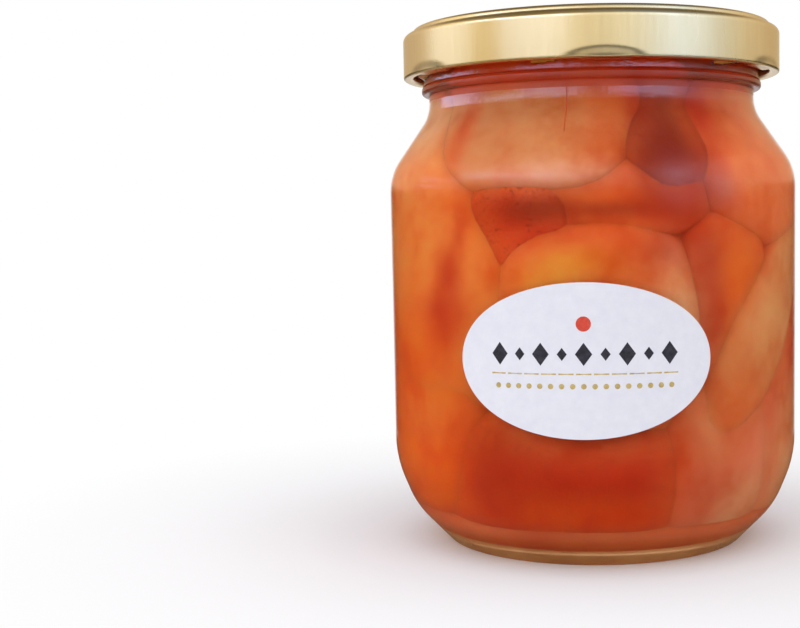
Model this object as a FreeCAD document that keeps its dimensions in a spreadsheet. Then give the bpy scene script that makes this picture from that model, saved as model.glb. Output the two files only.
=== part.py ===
"""Jar of nectarine compote: a twist-off glass jar with its lid, its contents and an oval label.

Millimetres. The origin is the middle of the ring that the jar stands on, +Z is up and the
label faces -Y. Four pieces, each a solid of its own: glass_jar, compote, lid and label.
"""

import FreeCAD, Part
import math
import os

import Sketcher

# Driving dimensions, one alias each.
SIZES = [
    # Glass, outside, from the standing ring up to the rim.
    ("body_radius", 45.6, "cylindrical wall"),
    ("heel_width", 12.0, "from the wall in to the standing ring's outer edge"),
    ("heel_height", 18.6, "where the heel leaves the wall"),
    ("heel_turn_width", 4.2, "from the wall in to the heel's knee"),
    ("heel_turn_height", 8.15, "height of the heel's knee"),
    ("heel_round", 25.0, "rounding between wall and heel"),
    ("heel_turn_round", 18.0, "rounding at the knee"),
    ("ring_width", 2.6, "width of the standing ring"),
    ("ring_round", 0.8, "rounding of the standing ring's outer edge"),
    ("push_up", 2.2, "height of the hollow under the base"),
    ("push_up_slope", 2.4, "width of the slope into that hollow"),
    ("body_top", 82.4, "where the shoulder leaves the wall"),
    ("shoulder_rise", 13.25, "height of the shoulder cone"),
    ("shoulder_round", 12.9, "rounding between wall and shoulder"),
    ("neck_round", 9.1, "rounding between shoulder and neck"),
    ("neck_radius", 36.4, "neck under the bead"),
    ("neck_rise", 4.35, "height of the neck up to the bead"),
    ("bead_depth", 1.65, "how far the bead stands out from the neck"),
    ("bead_height", 1.9, "height of the bead"),
    ("bead_round", 0.6, "rounding of the bead"),
    ("finish_depth", 1.1, "how far the threaded wall stands out from the neck"),
    ("finish_height", 10.6, "height of the threaded wall above the bead"),
    ("rim_round", 1.2, "rounding of the rim"),
    # Glass, inside.
    ("wall", 2.6, "thickness of the side walls"),
    ("floor_height", 6.0, "height of the inner floor"),
    ("floor_round", 17.0, "rounding between inner floor and wall"),
    # Six thread ramps on the glass.
    ("thread_count", 6, "number of thread ramps, and of lugs"),
    ("thread_depth", 1.7, "how far a ramp stands out"),
    ("thread_height", 1.4, "height of a ramp"),
    ("thread_low", 1.0, "from the bead up to a ramp's low end"),
    ("thread_rise", 3.25, "how far a ramp climbs"),
    ("thread_span", 40.0, "degrees that a ramp covers"),
    ("thread_start", 10.3, "degrees from +X to the first ramp's low end"),
    # Contents.
    ("fill_gap", 0.05, "between contents and glass"),
    ("headspace", 3.5, "from the contents up to the rim"),
    # Lid.
    ("sheet", 0.4, "thickness of the lid's metal"),
    ("skirt_gap", 2.4, "between thread ramps and skirt"),
    ("skirt_drop", 9.0, "from the rim down to the lid's lower edge"),
    ("curl_bulge", 0.35, "how far the curl stands out from the skirt"),
    ("curl_width", 1.75, "width of the curl"),
    ("curl_height", 1.5, "height of the curl"),
    ("curl_round", 0.6, "rounding of the curl"),
    ("shoulder_width", 2.1, "flat step outside the top ring"),
    ("shoulder_height", 0.6, "from the rim up to that step"),
    ("corner_round", 1.8, "rounding at the top of the skirt"),
    ("inner_corner_round", 1.0, "the same inside"),
    ("ring_rise", 1.8, "from the rim up to the top ring"),
    ("ring_breadth", 3.6, "breadth of the top ring"),
    ("ring_edge", 0.7, "rounding of the top ring's edges"),
    ("panel_drop", 1.2, "from the top ring down to the panel"),
    ("panel_slope", 1.2, "width of the slope down to the panel"),
    ("compound_breadth", 6.2, "breadth of the sealing compound, measured in from the skirt"),
    ("lug_depth", 3.5, "from the skirt's inside in to a lug's tip"),
    ("lug_drop", 0.5, "how far a lug hangs below the lid's edge"),
    ("lug_height", 1.1, "height of a lug"),
    ("lug_span", 16.0, "degrees that a lug covers"),
    ("lug_centre", 34.3, "degrees from +X to the first lug"),
    # Label.
    ("label_width", 52.8, "width of the oval, measured round the wall"),
    ("label_height", 31.3, "height of the oval"),
    ("label_level", 44.1, "height of its middle"),
    ("label_turn", -2.2, "degrees that it is turned round the jar, from the front"),
    ("label_sheet", 0.2, "thickness of the label"),
    ("label_gap", 0.05, "glue between label and glass"),
]

# Levels and radii that several pieces share, as expressions on the sheet.
BODY = "Sizes.body_radius"
NECK = "Sizes.neck_radius"
BASE = "(Sizes.body_radius - Sizes.heel_width)"
SHOULDER_TOP = "(Sizes.body_top + Sizes.shoulder_rise)"
BEAD_LOW = "(Sizes.body_top + Sizes.shoulder_rise + Sizes.neck_rise)"
BEAD_TOP = "(" + BEAD_LOW + " + Sizes.bead_height)"
RIM = "(" + BEAD_TOP + " + Sizes.finish_height)"
FINISH = "(Sizes.neck_radius + Sizes.finish_depth)"
THREAD = "(" + FINISH + " + Sizes.thread_depth)"
SKIRT_IN = "(" + THREAD + " + Sizes.skirt_gap)"
SKIRT_OUT = "(" + SKIRT_IN + " + Sizes.sheet)"
LID_LOW = "(" + RIM + " - Sizes.skirt_drop)"

doc = FreeCAD.newDocument("NectarineCompote")


def fill_sheet():
    """Write the driving dimensions into the spreadsheet."""
    sheet = doc.addObject("Spreadsheet::Sheet", "Sizes")
    for row, (alias, value, note) in enumerate(SIZES, start=1):
        sheet.set("A%d" % row, alias)
        sheet.set("B%d" % row, str(value))
        sheet.set("C%d" % row, note)
        sheet.setAlias("B%d" % row, alias)
    doc.recompute()
    return sheet


sizes = fill_sheet()


def value_of(expression):
    """The present value of an expression on the sheet."""
    return float(sizes.evalExpression(str(expression)))


def point(x, y):
    return FreeCAD.Vector(x, y, 0)


def new_body(label):
    body = doc.addObject("PartDesign::Body", label)
    body.Label = label
    body.Placement = FreeCAD.Placement()
    return body


def upright_sketch(body, name, turn=None):
    """A sketch in the XZ plane: its x is the radius and its y the height.

    turn is an expression in degrees that swings it about the Z axis.
    """
    plane = [f for f in body.Origin.OriginFeatures if f.Role == "XZ_Plane"][0]
    sketch = body.newObject("Sketcher::SketchObject", name)
    sketch.AttachmentSupport = [(plane, "")]
    sketch.MapMode = "FlatFace"
    if turn is not None:
        sketch.AttachmentOffset = FreeCAD.Placement(
            FreeCAD.Vector(0, 0, 0), FreeCAD.Rotation(point(0, 1), value_of(turn)))
        sketch.setExpression("AttachmentOffset.Rotation.Angle", turn)
    return sketch


def rounded_corner(before, corner, after, radius):
    """Start, end and centre of the arc that rounds a corner."""
    back = (before - corner).normalize()
    ahead = (after - corner).normalize()
    half = back.getAngle(ahead) / 2
    reach = radius / math.tan(half)
    inward = (back + ahead).normalize()
    return corner + back * reach, corner + ahead * reach, corner + inward * (radius / math.sin(half))


def arc_between(start, end, centre, radius):
    """The shorter arc between two points, and whether it runs from start to end."""
    first = math.atan2(start.y - centre.y, start.x - centre.x)
    last = math.atan2(end.y - centre.y, end.x - centre.x)
    forward = (last - first) % (2 * math.pi) < math.pi
    if not forward:
        first, last = last, first
    circle = Part.Circle(centre, FreeCAD.Vector(0, 0, 1), radius)
    return Part.ArcOfCircle(circle, first, last), forward


def hold(sketch, kind, geometry, position, name, expression):
    """Tie one coordinate of a sketch point to an expression."""
    value = value_of(expression)
    if abs(value) < 1e-9:
        axis = -2 if kind == "DistanceX" else -1
        sketch.addConstraint(Sketcher.Constraint("PointOnObject", geometry, position, axis))
        return
    index = sketch.addConstraint(Sketcher.Constraint(kind, -1, 1, geometry, position, value))
    sketch.renameConstraint(index, name)
    sketch.setExpression("Constraints." + name, expression)


def draw_outline(sketch, corners):
    """Draw a closed outline of straight runs with rounded corners.

    corners is a list of (x, y, rounding), all expressions; a rounding of None leaves it sharp.
    """
    count = len(corners)
    places = [point(value_of(x), value_of(y)) for x, y, _ in corners]
    ends = []
    for i, (_, _, rounding) in enumerate(corners):
        if rounding is None:
            ends.append((places[i], places[i], None))
        else:
            ends.append(rounded_corner(places[i - 1], places[i], places[(i + 1) % count],
                                       value_of(rounding)))
    runs = []
    for i in range(count):
        line = Part.LineSegment(ends[i][1], ends[(i + 1) % count][0])
        runs.append(sketch.addGeometry(line, False))
    for i, (x, y, rounding) in enumerate(corners):
        before = runs[i - 1]
        after = runs[i]
        if rounding is None:
            sketch.addConstraint(Sketcher.Constraint("Coincident", before, 2, after, 1))
            hold(sketch, "DistanceX", after, 1, "x%d" % i, x)
            hold(sketch, "DistanceY", after, 1, "y%d" % i, y)
            continue
        start, end, centre = ends[i]
        shape, forward = arc_between(start, end, centre, value_of(rounding))
        arc = sketch.addGeometry(shape, False)
        apex = sketch.addGeometry(Part.Point(places[i]), True)
        near, far = (1, 2) if forward else (2, 1)
        sketch.addConstraint(Sketcher.Constraint("PointOnObject", apex, 1, before))
        sketch.addConstraint(Sketcher.Constraint("PointOnObject", apex, 1, after))
        sketch.addConstraint(Sketcher.Constraint("Tangent", before, 2, arc, near))
        sketch.addConstraint(Sketcher.Constraint("Tangent", arc, far, after, 1))
        hold(sketch, "DistanceX", apex, 1, "x%d" % i, x)
        hold(sketch, "DistanceY", apex, 1, "y%d" % i, y)
        index = sketch.addConstraint(Sketcher.Constraint("Radius", arc, value_of(rounding)))
        sketch.renameConstraint(index, "round%d" % i)
        sketch.setExpression("Constraints.round%d" % i, rounding)


def turn_about_z(body, name, sketch, angle="360"):
    """Revolve a sketch about the Z axis, evenly to both sides of its plane."""
    turned = body.newObject("PartDesign::Revolution", name)
    turned.Profile = sketch
    turned.ReferenceAxis = (sketch, ["V_Axis"])
    turned.Midplane = True
    turned.Angle = value_of(angle)
    turned.setExpression("Angle", angle)
    doc.recompute()
    return turned


def repeat_about_z(body, name, feature):
    """Repeat a feature round the Z axis, once for each thread ramp."""
    axis = [f for f in body.Origin.OriginFeatures if f.Role == "Z_Axis"][0]
    pattern = body.newObject("PartDesign::PolarPattern", name)
    pattern.Originals = [feature]
    pattern.Axis = (axis, [""])
    pattern.Angle = 360
    pattern.setExpression("Occurrences", "Sizes.thread_count")
    body.Tip = pattern
    doc.recompute()
    return pattern


def wall_corners(inset):
    """The inner wall from the floor's rounding up to the neck, moved in by an inset."""
    shift = "(Sizes.wall + " + inset + ")"
    inner_body = BODY + " - " + shift
    inner_neck = NECK + " - " + shift
    return [
        (inner_body, "Sizes.floor_height + " + inset, "Sizes.floor_round - " + inset),
        (inner_body, "Sizes.body_top", "Sizes.shoulder_round - " + shift),
        (inner_neck, SHOULDER_TOP, "Sizes.neck_round + " + shift),
    ]


def make_glass():
    """The jar: one revolved section with heel, shoulder, bead and rim, and its thread ramps."""
    body = new_body("glass_jar")
    section = upright_sketch(body, "GlassSection")
    bead = "(" + NECK + " + Sizes.bead_depth)"
    outside = [
        ("0", "Sizes.push_up", None),
        (BASE + " - Sizes.ring_width - Sizes.push_up_slope", "Sizes.push_up", None),
        (BASE + " - Sizes.ring_width", "0", None),
        (BASE, "0", "Sizes.ring_round"),
        (BODY + " - Sizes.heel_turn_width", "Sizes.heel_turn_height", "Sizes.heel_turn_round"),
        (BODY, "Sizes.heel_height", "Sizes.heel_round"),
        (BODY, "Sizes.body_top", "Sizes.shoulder_round"),
        (NECK, SHOULDER_TOP, "Sizes.neck_round"),
        (NECK, BEAD_LOW, None),
        (bead, BEAD_LOW, "Sizes.bead_round"),
        (bead, BEAD_TOP, "Sizes.bead_round"),
        (FINISH, BEAD_TOP, None),
        (FINISH, RIM, "Sizes.rim_round"),
    ]
    inside = [
        (NECK + " - Sizes.wall", RIM, "Sizes.rim_round"),
        *reversed(wall_corners("0")),
        ("0", "Sizes.floor_height", None),
    ]
    draw_outline(section, outside + inside)
    turn_about_z(body, "GlassTurned", section)

    # A ramp starts inside the wall, so that it is one with it all along.
    ramp_section = upright_sketch(body, "RampSection", "Sizes.thread_start")
    root = FINISH + " - Sizes.thread_depth / 2"
    low = BEAD_TOP + " + Sizes.thread_low"
    high = low + " + Sizes.thread_height"
    draw_outline(ramp_section, [
        (root, low, None),
        (FINISH, low, None),
        (THREAD, low + " + Sizes.thread_height / 4", None),
        (THREAD, high + " - Sizes.thread_height / 4", None),
        (FINISH, high, None),
        (root, high, None),
    ])
    ramp = body.newObject("PartDesign::AdditiveHelix", "Ramp")
    ramp.Profile = ramp_section
    ramp.ReferenceAxis = (ramp_section, ["V_Axis"])
    ramp.Mode = "pitch-height-angle"
    ramp.setExpression("Height", "Sizes.thread_rise")
    ramp.setExpression("Pitch", "Sizes.thread_rise * 360 / Sizes.thread_span")
    ramp.Height = value_of("Sizes.thread_rise")
    ramp.Pitch = value_of("Sizes.thread_rise * 360 / Sizes.thread_span")
    ramp.LeftHanded = False
    ramp.Reversed = False
    doc.recompute()
    repeat_about_z(body, "Ramps", ramp)
    return body


def make_compote():
    """The contents: fruit and syrup, filling the jar up to the headspace."""
    body = new_body("compote")
    section = upright_sketch(body, "ContentsSection")
    gap = "Sizes.fill_gap"
    level = RIM + " - Sizes.headspace"
    draw_outline(section, [
        ("0", "Sizes.floor_height + " + gap, None),
        *wall_corners(gap),
        (NECK + " - Sizes.wall - " + gap, level, None),
        ("0", level, None),
    ])
    turn_about_z(body, "ContentsTurned", section)
    return body


def make_lid():
    """The lid: a pressed metal shell with a curled edge, and six lugs under the thread ramps."""
    body = new_body("lid")
    section = upright_sketch(body, "LidSection")
    curl_out = SKIRT_OUT + " + Sizes.curl_bulge"
    curl_in = curl_out + " - Sizes.curl_width"
    curl_top = LID_LOW + " + Sizes.curl_height"
    step_level = RIM + " + Sizes.shoulder_height"
    ring_out = SKIRT_OUT + " - Sizes.shoulder_width"
    ring_in = ring_out + " - Sizes.ring_breadth"
    ring_level = RIM + " + Sizes.ring_rise"
    panel_level = ring_level + " - Sizes.panel_drop"
    compound_in = SKIRT_IN + " - Sizes.compound_breadth"
    draw_outline(section, [
        ("0", panel_level, None),
        (ring_in + " - Sizes.panel_slope", panel_level, None),
        (ring_in, ring_level, "Sizes.ring_edge"),
        (ring_out, ring_level, "Sizes.ring_edge"),
        (ring_out, step_level, None),
        (SKIRT_OUT, step_level, "Sizes.corner_round"),
        (SKIRT_OUT, curl_top, None),
        (curl_out, curl_top + " - Sizes.curl_bulge", "Sizes.curl_round"),
        (curl_out, LID_LOW, "Sizes.curl_round"),
        (curl_in, LID_LOW, "Sizes.curl_round"),
        (curl_in, curl_top, None),
        (SKIRT_IN, curl_top, None),
        (SKIRT_IN, RIM, "Sizes.inner_corner_round"),
        (compound_in, RIM, None),
        (compound_in, panel_level + " - Sizes.sheet", None),
        ("0", panel_level + " - Sizes.sheet", None),
    ])
    turn_about_z(body, "LidTurned", section)

    lug_section = upright_sketch(body, "LugSection", "Sizes.lug_centre")
    tip = SKIRT_IN + " - Sizes.lug_depth"
    root = SKIRT_IN + " + Sizes.sheet / 2"
    low = LID_LOW + " - Sizes.lug_drop"
    high = low + " + Sizes.lug_height"
    draw_outline(lug_section, [
        (tip, low, None),
        (root, low, None),
        (root, high, None),
        (tip, high, None),
    ])
    lug = turn_about_z(body, "Lug", lug_section, "Sizes.lug_span")
    repeat_about_z(body, "Lugs", lug)
    return body


def make_label():
    """The label: an oval cut from a thin shell that wraps the jar's wall."""
    inner = BODY + " + Sizes.label_gap"
    outer = inner + " + Sizes.label_sheet"
    drums = []
    for name, radius in (("LabelOutside", outer), ("LabelInside", inner)):
        drum = doc.addObject("Part::Cylinder", name)
        drum.setExpression("Radius", radius)
        drum.setExpression("Height", "Sizes.label_height")
        drum.setExpression("Placement.Base.z", "Sizes.label_level - Sizes.label_height / 2")
        drums.append(drum)
    shell = doc.addObject("Part::Cut", "LabelShell")
    shell.Base, shell.Tool = drums

    oval = doc.addObject("Part::Ellipse", "LabelOval")
    oval.Placement = FreeCAD.Placement(
        FreeCAD.Vector(0, 0, 0), FreeCAD.Rotation(FreeCAD.Vector(1, 0, 0), 90))
    oval.setExpression("Placement.Base.z", "Sizes.label_level")
    half_turn = "Sizes.label_width / 2 / Sizes.body_radius * 1rad"
    oval.setExpression("MajorRadius", "(" + outer + ") * sin(" + half_turn + ")")
    oval.setExpression("MinorRadius", "Sizes.label_height / 2")
    column = doc.addObject("Part::Extrusion", "LabelColumn")
    column.Base = oval
    column.DirMode = "Custom"
    column.Dir = FreeCAD.Vector(0, -1, 0)
    column.setExpression("LengthFwd", "2 * Sizes.body_radius")
    column.Solid = True

    label = doc.addObject("Part::Common", "label")
    label.Label = "label"
    label.Base = shell
    label.Tool = column
    label.Placement = FreeCAD.Placement(
        FreeCAD.Vector(0, 0, 0), FreeCAD.Rotation(FreeCAD.Vector(0, 0, 1), value_of("Sizes.label_turn")))
    label.setExpression("Placement.Rotation.Angle", "Sizes.label_turn")
    return label


pieces = [make_glass(), make_compote(), make_lid(), make_label()]
doc.recompute()

for item in doc.Objects:
    if "Invalid" in item.State or "Error" in item.State:
        raise RuntimeError("%s did not build: %s" % (item.Name, item.State))
for piece in pieces:
    if piece.Shape.isNull() or not piece.Shape.isValid() or len(piece.Shape.Solids) != 1:
        raise RuntimeError("%s is not one valid solid" % piece.Label)

os.makedirs("parts", exist_ok=True)
for piece in pieces:
    piece.Shape.exportStep(os.path.join("parts", piece.Label + ".step"))
    box = piece.Shape.optimalBoundingBox()
    print("%-10s %9.1f mm3, %.2f x %.2f mm, from z %.2f to %.2f" % (
        piece.Label, piece.Shape.Volume, box.XLength, box.YLength, box.ZMin, box.ZMax))
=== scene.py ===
"""Looks of the jar of nectarine compote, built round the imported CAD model.

Lengths are written in millimetres and turned into metres when a mesh is made; only the floor and the
lamps are in metres. The jar stands on z = 0 with its axis on the Z axis, and its label faces -Y. A
place on the jar's wall is written as an azimuth, in degrees from the front and counted to the
viewer's right, and a height.
"""

import math

import bmesh
import bpy
import numpy as np
from mathutils import Matrix, Vector


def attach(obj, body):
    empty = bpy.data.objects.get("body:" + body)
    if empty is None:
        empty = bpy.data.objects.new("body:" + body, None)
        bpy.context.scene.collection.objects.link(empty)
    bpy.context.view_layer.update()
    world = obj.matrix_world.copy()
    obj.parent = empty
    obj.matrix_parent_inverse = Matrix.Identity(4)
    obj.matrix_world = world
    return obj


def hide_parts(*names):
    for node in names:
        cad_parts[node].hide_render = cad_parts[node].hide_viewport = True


MM = 0.001
FRONT = -90.0  # degrees from +X to the front of the jar

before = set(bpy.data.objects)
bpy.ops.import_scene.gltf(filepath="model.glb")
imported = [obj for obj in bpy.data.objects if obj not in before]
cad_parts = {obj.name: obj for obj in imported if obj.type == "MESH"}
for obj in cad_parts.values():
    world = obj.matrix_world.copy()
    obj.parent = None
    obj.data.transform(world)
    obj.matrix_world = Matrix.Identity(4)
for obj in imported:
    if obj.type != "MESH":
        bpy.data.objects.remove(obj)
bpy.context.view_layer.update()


# ------ Sizes, as in the CAD model, apart from the inner floor and the label's own layers ------

BODY = 45.6
NECK = 36.4
BASE = BODY - 12.0
BODY_TOP = 82.4
SHOULDER_TOP = BODY_TOP + 13.25
BEAD_LOW = SHOULDER_TOP + 4.35
BEAD_TOP = BEAD_LOW + 1.9
BEAD = NECK + 1.65
RIM = BEAD_TOP + 10.6
FINISH = NECK + 1.1
THREAD = FINISH + 1.7
WALL = 2.6
FLOOR = 5.2  # the inner floor in the middle; the solid's lies level, 6.0 up
FLOOR_EDGE = 3.4  # the inner floor at the foot of the wall
LEVEL = RIM - 3.5

SKIRT_IN = THREAD + 2.4
SKIRT = SKIRT_IN + 0.4
CURL = SKIRT + 0.35
LID_LOW = RIM - 9.0
STEP = RIM + 0.6
RING_TOP = RIM + 1.8
RING_OUT = SKIRT - 2.1
RING_IN = RING_OUT - 3.6
PANEL = RING_TOP - 1.2
LUGS = 6
LUG_TURN = 360 / LUGS
LUG_FIRST = 4.3

LABEL_WIDTH = 52.8
LABEL_HEIGHT = 31.3
LABEL_LEVEL = 44.1
LABEL_TURN = -2.2
LABEL_BACK = BODY + 0.06
LABEL_FACE = BODY + 0.23  # the paper; it and its print stay inside the solid label
PRINT_FACE = BODY + 0.245


# ------ Mesh helpers ------

def smooth(low, high, x):
    """0 below low, 1 above high, and a soft step between."""
    share = np.clip((np.asarray(x, float) - low) / (high - low), 0.0, 1.0)
    return share * share * (3 - 2 * share)


def rounded_path(corners, arc_step=6.0, longest=6.0):
    """A polyline through (radius, height, rounding) corners, with arcs and divided runs."""
    count = len(corners)
    path = []
    for i, (r, z, rounding) in enumerate(corners):
        corner = np.array([r, z], float)
        if not rounding or i in (0, count - 1):
            path.append(corner)
            continue
        before = np.array(corners[i - 1][:2], float) - corner
        after = np.array(corners[i + 1][:2], float) - corner
        before /= np.linalg.norm(before)
        after /= np.linalg.norm(after)
        half = math.acos(np.clip(before @ after, -1, 1)) / 2
        start = corner + before * rounding / math.tan(half)
        centre = corner + (before + after) / np.linalg.norm(before + after) * rounding / math.sin(half)
        turn = math.pi - 2 * half
        side = np.sign(before[0] * after[1] - before[1] * after[0])
        steps = max(2, math.ceil(math.degrees(turn) / arc_step))
        spoke = start - centre
        for k in range(steps + 1):
            a = -side * turn * k / steps
            turned = np.array([spoke[0] * math.cos(a) - spoke[1] * math.sin(a),
                               spoke[0] * math.sin(a) + spoke[1] * math.cos(a)])
            path.append(centre + turned)
    divided = [path[0]]
    for point in path[1:]:
        last = divided[-1]
        parts = max(1, math.ceil(np.linalg.norm(point - last) / longest))
        for k in range(1, parts + 1):
            divided.append(last + (point - last) * k / parts)
    return np.array(divided)


def new_object(name, points, faces, material, sharp=None):
    """A mesh object from points in millimetres; sharp is the angle above which edges stay hard."""
    mesh = bpy.data.meshes.new(name)
    mesh.from_pydata([tuple(p) for p in np.asarray(points) * MM], [], faces)
    mesh.validate()
    build = bmesh.new()
    build.from_mesh(mesh)
    bmesh.ops.recalc_face_normals(build, faces=build.faces)
    build.to_mesh(mesh)
    build.free()
    mesh.shade_smooth()
    if sharp is not None:
        mesh.set_sharp_from_angle(angle=math.radians(sharp))
    piece = bpy.data.objects.new(name, mesh)
    bpy.context.scene.collection.objects.link(piece)
    mesh.materials.append(material)
    return piece


def revolve(name, path, columns, material, reshape=None, sharp=None):
    """Turn a path about the Z axis. Ends on the axis become poles; other paths are closed loops.

    columns holds the azimuths in degrees, and reshape(r, z, azimuths) may move the points.
    """
    poles = path[0][0] < 1e-6 and path[-1][0] < 1e-6
    rings = path[1:-1] if poles else path
    azimuths = np.asarray(columns, float)
    r = np.repeat(rings[:, 0:1], len(azimuths), 1)
    z = np.repeat(rings[:, 1:2], len(azimuths), 1)
    spread = np.repeat(azimuths[None, :], len(rings), 0)
    if reshape is not None:
        r, z = reshape(r, z, spread)
    around = np.radians(spread + FRONT)
    points = np.stack([r * np.cos(around), r * np.sin(around), z], -1).reshape(-1, 3)
    rows, across = len(rings), len(azimuths)
    faces = []
    for i in range(rows - 1 if poles else rows):
        j = (i + 1) % rows
        for k in range(across):
            m = (k + 1) % across
            faces.append((i * across + k, i * across + m, j * across + m, j * across + k))
    if poles:
        first, last = len(points), len(points) + 1
        ends = np.array([[0, 0, path[0][1]], [0, 0, path[-1][1]]])
        points = np.vstack([points, ends])
        top = (rows - 1) * across
        for k in range(across):
            m = (k + 1) % across
            faces.append((first, m, k))
            faces.append((last, top + k, top + m))
    return new_object(name, points, faces, material, sharp)


def around_jar(step, fine_at=(), fine_step=0.12, fine_reach=1.0):
    """Azimuths right round the jar, closer together near the given ones."""
    marks = set(np.round(np.arange(-180, 180, step), 4))
    for place in fine_at:
        for extra in np.arange(place - fine_reach, place + fine_reach + 1e-6, fine_step):
            marks.add(round((extra + 180) % 360 - 180, 4))
    marks = sorted(marks)
    kept = [marks[0]]
    for mark in marks[1:]:
        if mark - kept[-1] > 0.05:
            kept.append(mark)
    return kept


def on_wall(azimuth, height, radius):
    """The point at an azimuth and a height, that far from the axis."""
    a = np.radians(np.asarray(azimuth, float) + FRONT)
    return np.stack([radius * np.cos(a), radius * np.sin(a), np.broadcast_to(height, a.shape)], -1)


def place_of(face):
    """How far from the axis and how high a face's middle is, and whether the face looks inward."""
    middle = face.center
    return math.hypot(middle.x, middle.y) / MM, middle.z / MM, face.normal.xy.dot(middle.xy) < 0


def apart(azimuth, other):
    """Signed difference of two azimuths, in degrees, within half a turn."""
    return (np.asarray(azimuth) - other + 180) % 360 - 180


# ------ Node helpers ------

class Nodes:
    """Short calls that add nodes to one material or world and join them up."""

    def __init__(self, owner):
        owner.use_nodes = True
        self.owner = owner
        self.tree = owner.node_tree
        self.tree.nodes.clear()

    def add(self, kind, inputs=None, **settings):
        node = self.tree.nodes.new(kind)
        for key, value in settings.items():
            setattr(node, key, value)
        for key, value in (inputs or {}).items():
            self.put(node.inputs[key], value)
        return node

    def put(self, socket, value):
        if isinstance(value, bpy.types.NodeSocket):
            self.tree.links.new(value, socket)
        elif isinstance(value, bpy.types.Node):
            self.tree.links.new(value.outputs[0], socket)
        else:
            socket.default_value = value

    def maths(self, operation, a, b, clamp=False):
        node = self.add("ShaderNodeMath", {0: a, 1: b}, operation=operation, use_clamp=clamp)
        return node.outputs[0]

    def mix(self, share, a, b, blend="MIX"):
        """One colour over another; the colours are the mix node's inputs 6 and 7."""
        node = self.add("ShaderNodeMix", {"Factor": share, 6: a, 7: b}, data_type="RGBA", blend_type=blend)
        return node.outputs[2]

    def mix_shaders(self, share, first, second):
        return self.add("ShaderNodeMixShader", {0: share, 1: first, 2: second})

    def noise(self, scale, detail, rough, vector):
        node = self.add("ShaderNodeTexNoise", {
            "Scale": scale, "Detail": detail, "Roughness": rough, "Vector": vector})
        return node.outputs["Fac"]

    def ramp(self, value, stops):
        """Colours along a value; a plain number stands for a grey."""
        node = self.add("ShaderNodeValToRGB")
        self.put(node.inputs[0], value)
        marks = node.color_ramp.elements
        while len(marks) < len(stops):
            marks.new(0.5)
        for mark, (place, colour) in zip(marks, stops):
            mark.position = place
            mark.color = (*colour[:3], 1) if isinstance(colour, tuple) else grey(colour)
        return node.outputs["Color"]

    def bands(self, value, spans):
        """Soft-edged bands over a value: (start, full from, full to, end, level), 0 between them."""
        stops = []
        for start, full_from, full_to, end, level in spans:
            stops += [(start, 0), (full_from, level), (full_to, level), (end, 0)]
        return self.ramp(value, stops)

    def place(self):
        return self.add("ShaderNodeTexCoord").outputs["Object"]

    def bump(self, strength, distance, height):
        return self.add("ShaderNodeBump", {"Strength": strength, "Distance": distance, "Height": height})

    def principled(self, colour, roughness, others):
        return self.add("ShaderNodeBsdfPrincipled", {
            "Base Color": colour, "Roughness": roughness, **others})

    def finish(self, surface, volume=None):
        """Join the shaders to the material's output and hand the material back."""
        end = self.add("ShaderNodeOutputMaterial", {"Surface": surface})
        if volume is not None:
            self.put(end.inputs["Volume"], volume)
        return self.owner


def grey(level):
    return (level, level, level, 1)


def linear(red, green, blue):
    """A colour as seen on a screen, 0 to 255, as the shader's linear colour."""
    def one(c):
        c /= 255
        return c / 12.92 if c <= 0.04045 else ((c + 0.055) / 1.055) ** 2.4
    return (one(red), one(green), one(blue), 1)


def lets_lamps_through(nodes, shader, tint=(1, 1, 1, 1)):
    """Glass whose shadow is only a tint, so that lamps reach what is inside."""
    path = nodes.add("ShaderNodeLightPath")
    clear = nodes.add("ShaderNodeBsdfTransparent", {"Color": tint})
    return nodes.mix_shaders(path.outputs["Is Shadow Ray"], shader, clear)


def material_nodes(name):
    return Nodes(bpy.data.materials.new(name))


# ------ Materials ------

FLESH_DEPTH = {"Subsurface Weight": 0.6, "Subsurface Radius": (1.0, 0.35, 0.12),
               "Subsurface Scale": 0.003}


def glass_material(name, gleam, grain=0.25, roughness=0.05):
    """Clear glass; gleam is how much of its usual reflection shows face on, grain its fine unevenness."""
    nodes = material_nodes(name)
    place = nodes.place()
    ripple = nodes.noise(55.0, 2.0, 0.5, place)
    pebble = nodes.noise(1150.0, 2.0, 0.6, place)
    height = nodes.maths("ADD", ripple, nodes.maths("MULTIPLY", pebble, grain))
    bump = nodes.bump(0.25, 0.0006, height)
    glass = nodes.principled((0.985, 0.99, 0.98, 1), roughness, {
        "IOR": 1.5, "Specular Tint": grey(gleam), "Transmission Weight": 1.0, "Normal": bump})
    return nodes.finish(lets_lamps_through(nodes, glass, (0.99, 0.99, 0.985, 1)))


def painted_reflection_material(name, dark, light, transmission):
    """Glass of the bead or the threads, tinted with the gold of the lid and the red of the fruit: a
    painted reflection of what shows through it.
    """
    nodes = material_nodes(name)
    place = nodes.place()
    tone = nodes.ramp(nodes.noise(90.0, 3.0, 0.5, place), [(0.35, dark), (0.65, light)])
    bump = nodes.bump(0.3, 0.0002, nodes.noise(900.0, 2.0, 0.5, place))
    glass = nodes.principled(tone, 0.25, {
        "IOR": 1.5, "Specular IOR Level": 0.15, "Transmission Weight": transmission, "Normal": bump})
    return nodes.finish(lets_lamps_through(nodes, glass, (0.95, 0.8, 0.6, 1)))


def heel_painted_reflection_material():
    """Thick glass under the contents; its brown-orange is a painted reflection of the contents seen
    through it.
    """
    nodes = material_nodes("heel_glass_painted_reflection")
    tone = nodes.ramp(nodes.noise(70.0, 3.0, 0.5, nodes.place()),
                      [(0.35, (0.54, 0.22, 0.07)), (0.65, (0.72, 0.34, 0.12))])
    glass = nodes.principled(tone, 0.1, {
        "IOR": 1.5, "Specular Tint": grey(0.6), "Transmission Weight": 0.4})
    return nodes.finish(lets_lamps_through(nodes, glass, (0.99, 0.95, 0.85, 1)))


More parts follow.
